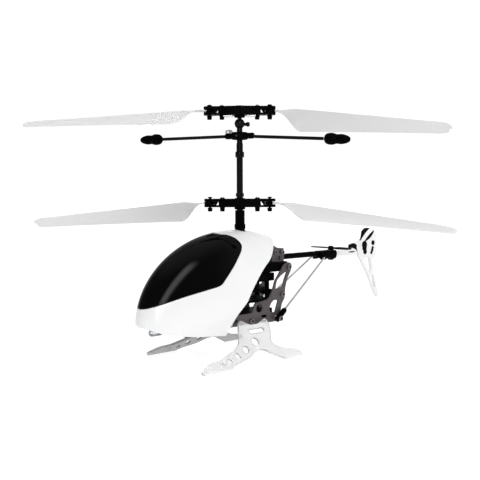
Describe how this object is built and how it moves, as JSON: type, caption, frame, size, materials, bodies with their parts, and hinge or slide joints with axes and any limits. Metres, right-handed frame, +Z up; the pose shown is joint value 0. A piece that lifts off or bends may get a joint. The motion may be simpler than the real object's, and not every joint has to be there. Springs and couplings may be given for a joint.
{
  "type": "remote control helicopter",
  "caption": "Palm-size indoor remote control helicopter: coaxial rotors with weighted flybar, egg-shaped canopy, plate frame, tail rotor, fin and sloping skids.",
  "frame": {"origin": "ground level under the skids, at the centre of the footprint's bounding box; the mast stands 8.46 mm ahead of it", "axes": "+Z up along the mast, nose towards -Y, tail towards +Y, port side towards +X"},
  "size_m": [0.1328, 0.1684, 0.1087],
  "materials": {
    "canopy_white": "high gloss moulded shell",
    "screen_black": "mirror gloss black",
    "plate_grey": "dark anodised sheet",
    "black_plastic": "fine moulded texture",
    "shaft_dark": "blackened, turned",
    "steel": "bright drawn",
    "blade_clear": "translucent white, satin",
    "fin_white": "satin white with black graphic patches",
    "skid_clear": "translucent, glossy",
    "gear_black": "smooth moulded",
    "cell_foil": "wrapped foil pouch",
    "board_green": "lacquered board",
    "lamp_clear": "clear lens"
  },
  "bodies": {
    "airframe": {"canopy_shell": "canopy_white", "windscreen": "screen_black", "side_plate_left": "plate_grey", "side_plate_right": "plate_grey", "boom_block": "plate_grey", "upper_deck": "black_plastic", "motor_deck": "black_plastic", "base_block": "black_plastic", "mast_tower": "black_plastic", "rear_spacer": "black_plastic", "charge_socket": "black_plastic", "switch_housing": "black_plastic", "ear_bolt": "steel", "strut_bolt": "steel", "foot_bolt": "steel", "socket_bolt": "steel", "block_bolt_front": "steel", "block_bolt_rear": "steel", "canopy_peg_bar": "steel", "battery_cell": "cell_foil", "circuit_board": "board_green", "nose_lamp": "lamp_clear", "motor_front_left": "steel", "motor_front_right": "steel", "landing_skid_left": "skid_clear", "landing_skid_right": "skid_clear", "tail_boom": "black_plastic", "strut_clamp": "black_plastic", "tail_motor_holder": "black_plastic", "tail_motor": "steel", "tail_fin": "fin_white", "strut_socket_left": "black_plastic", "strut_socket_right": "black_plastic", "tail_strut_left": "steel", "tail_strut_right": "steel"},
    "lower_rotor": {"lower_hub": "black_plastic", "lower_blade_pin_a": "black_plastic", "lower_blade_pin_b": "black_plastic", "outer_shaft": "black_plastic", "upper_gear": "gear_black"},
    "lower_blade_a": {"lower_blade_a": "blade_clear"},
    "lower_blade_b": {"lower_blade_b": "blade_clear"},
    "mast": {"inner_shaft": "shaft_dark", "lower_gear": "gear_black", "flybar_pivot_pin": "steel"},
    "upper_head": {"upper_hub": "black_plastic", "upper_blade_pin_a": "black_plastic", "upper_blade_pin_b": "black_plastic"},
    "upper_blade_a": {"upper_blade_a": "blade_clear"},
    "upper_blade_b": {"upper_blade_b": "blade_clear"},
    "flybar": {"flybar_hub": "black_plastic", "flybar_arm_a": "shaft_dark", "flybar_arm_b": "shaft_dark", "flybar_weight_a": "black_plastic", "flybar_weight_b": "black_plastic"},
    "tail_rotor": {"tail_rotor": "gear_black"},
    "left_pinion": {"pinion_front_left": "steel"},
    "right_pinion": {"pinion_front_right": "steel"},
    "switch": {"power_switch": "gear_black"}
  },
  "joints": [
    {"name": "lower_rotor_spin", "type": "hinge", "parent": "airframe", "child": "lower_rotor", "pos_m": [0, -0.00846, 0.0662], "axis": [0, 0, 1], "continuous": true},
    {"name": "upper_rotor_spin", "type": "hinge", "parent": "airframe", "child": "mast", "pos_m": [0, -0.00846, 0.0952], "axis": [0, 0, 1], "continuous": true},
    {"name": "left_pinion_spin", "type": "hinge", "parent": "airframe", "child": "left_pinion", "pos_m": [0.00398, -0.02019, 0.0286], "axis": [0, 0, 1], "continuous": true},
    {"name": "right_pinion_spin", "type": "hinge", "parent": "airframe", "child": "right_pinion", "pos_m": [-0.00398, -0.02019, 0.024], "axis": [0, 0, 1], "continuous": true},
    {"name": "tail_rotor_spin", "type": "hinge", "parent": "airframe", "child": "tail_rotor", "pos_m": [0, 0.04874, 0.0433], "axis": [0, 0, 1], "continuous": true},
    {"name": "lower_blade_a_lag", "type": "hinge", "parent": "lower_rotor", "child": "lower_blade_a", "pos_m": [0.00846, 0.00148, 0.0662], "axis": [0, 0, 1], "range_deg": [-60, 12]},
    {"name": "lower_blade_b_lag", "type": "hinge", "parent": "lower_rotor", "child": "lower_blade_b", "pos_m": [-0.00846, -0.0184, 0.0662], "axis": [0, 0, 1], "range_deg": [-60, 12]},
    {"name": "upper_blade_a_lag", "type": "hinge", "parent": "upper_head", "child": "upper_blade_a", "pos_m": [0.00846, 0.00148, 0.106], "axis": [0, 0, 1], "range_deg": [-12, 60]},
    {"name": "upper_blade_b_lag", "type": "hinge", "parent": "upper_head", "child": "upper_blade_b", "pos_m": [-0.00846, -0.0184, 0.106], "axis": [0, 0, 1], "range_deg": [-12, 60]},
    {"name": "flybar_tilt", "type": "hinge", "parent": "mast", "child": "flybar", "pos_m": [0, -0.00846, 0.0952], "axis": [-0.512, 0.859, 0], "range_deg": [-10, 10]},
    {"name": "head_rock", "type": "hinge", "parent": "mast", "child": "upper_head", "pos_m": [0, -0.00846, 0.106], "axis": [0.6481, 0.7615, 0], "range_deg": [-5, 5]},
    {"name": "power_switch_slide", "type": "slide", "parent": "airframe", "child": "switch", "axis": [1, 0, 0], "range_m": [0, 0.002]}
  ],
  "couplings": [
    {"joint": "left_pinion_spin", "follows": "lower_rotor_spin", "ratio": -6},
    {"joint": "right_pinion_spin", "follows": "upper_rotor_spin", "ratio": -6},
    {"joint": "head_rock", "follows": "flybar_tilt", "ratio": 0.5}
  ]
}
